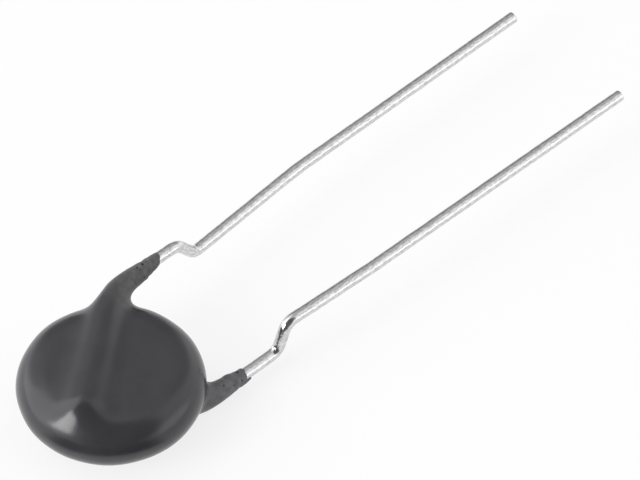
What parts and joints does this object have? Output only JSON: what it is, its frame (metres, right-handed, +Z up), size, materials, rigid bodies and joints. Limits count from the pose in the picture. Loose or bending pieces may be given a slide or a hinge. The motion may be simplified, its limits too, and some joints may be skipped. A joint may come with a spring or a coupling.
{
  "type": "disc varistor",
  "caption": "Round dark grey epoxy-dipped disc varistor with kinked tinned wire leads that run out through coated legs.",
  "frame": {"origin": "middle of the part's box on the surface it lies on, below the leads", "axes": "+Y along the leads from the disc to the tips, +Z up through the face that carries the front lead, +X to the right seen from above with the leads pointing away"},
  "size_m": [0.012, 0.047, 0.0056],
  "materials": {
    "coating": "satin dark grey dipped epoxy",
    "ceramic": "matt sintered zinc oxide",
    "silver": "matt fired silver",
    "solder": "satin solder",
    "wire": "tinned wire with fine drawing marks"
  },
  "bodies": {
    "root": {"coating": "coating", "ceramic_disc": "ceramic", "front_electrode": "silver", "back_electrode": "silver", "front_solder": "solder", "back_solder": "solder", "front_lead": "wire", "back_lead": "wire"}
  },
  "joints": []
}
